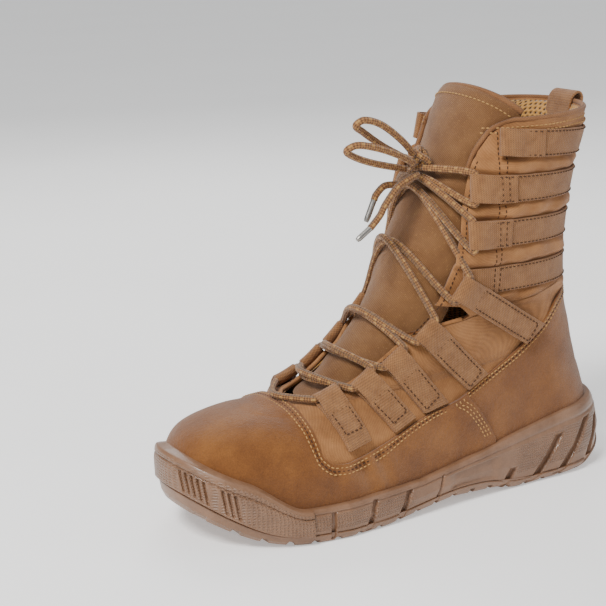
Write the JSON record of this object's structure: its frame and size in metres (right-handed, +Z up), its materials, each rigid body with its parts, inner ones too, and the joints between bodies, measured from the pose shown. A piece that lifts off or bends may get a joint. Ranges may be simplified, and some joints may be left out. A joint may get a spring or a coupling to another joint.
{
  "type": "combat boot",
  "caption": "High lace-up boot with webbing lace loops on a fabric shaft, suede lower, lugged moulded sole and inner side zip.",
  "frame": {"origin": "middle of the underside of the boot's box, on the floor", "axes": "+X from toe to heel, +Y to the inner side (the zip), +Z up"},
  "size_m": [0.3018, 0.1138, 0.2453],
  "materials": {
    "brass": "aged",
    "cord": "braided",
    "fabric": "coated woven nylon",
    "lining": "spacer mesh",
    "rubber": "moulded, satin",
    "steel": "satin",
    "suede": "brushed suede",
    "webbing": "woven webbing"
  },
  "bodies": {
    "boot": {"aglet_long": "steel", "aglet_short": "steel", "collar_binding": "fabric", "counter": "suede", "insole": "lining", "lace": "cord", "lace_bow_lower": "cord", "lace_bow_upper": "cord", "lace_end_long": "cord", "lace_end_short": "cord", "lace_knot": "cord", "loop_1_inner": "webbing", "loop_1_outer": "webbing", "loop_2_inner": "webbing", "loop_2_outer": "webbing", "loop_3_inner": "webbing", "loop_3_outer": "webbing", "loop_4_inner": "webbing", "loop_4_outer": "webbing", "loop_5_inner": "webbing", "loop_5_outer": "webbing", "midsole": "rubber", "outsole": "rubber", "pull_loop": "webbing", "strap_1_inner": "webbing", "strap_1_outer": "webbing", "strap_1_rear": "webbing", "strap_2_inner": "webbing", "strap_2_outer": "webbing", "strap_2_rear": "webbing", "strap_3_inner": "webbing", "strap_3_outer": "webbing", "strap_3_rear": "webbing", "strap_4_inner": "webbing", "strap_4_outer": "webbing", "strap_4_rear": "webbing", "toe_bumper": "rubber", "tongue": "fabric", "upper": "fabric", "vamp": "suede", "vent_eyelet_front": "steel", "vent_eyelet_rear": "steel", "zip_facing_front": "suede", "zip_facing_rear": "suede", "zip_slider": "brass", "zip_tape": "fabric", "zip_teeth": "brass"},
    "zip_pull": {"zip_pull": "brass"}
  },
  "joints": [
    {"name": "zip_pull_swing", "type": "hinge", "parent": "boot", "child": "zip_pull", "pos_m": [0.08845, 0.05174, 0.21449], "axis": [0.995, -0.0835, -0.0543], "range_deg": [0, 150]}
  ]
}
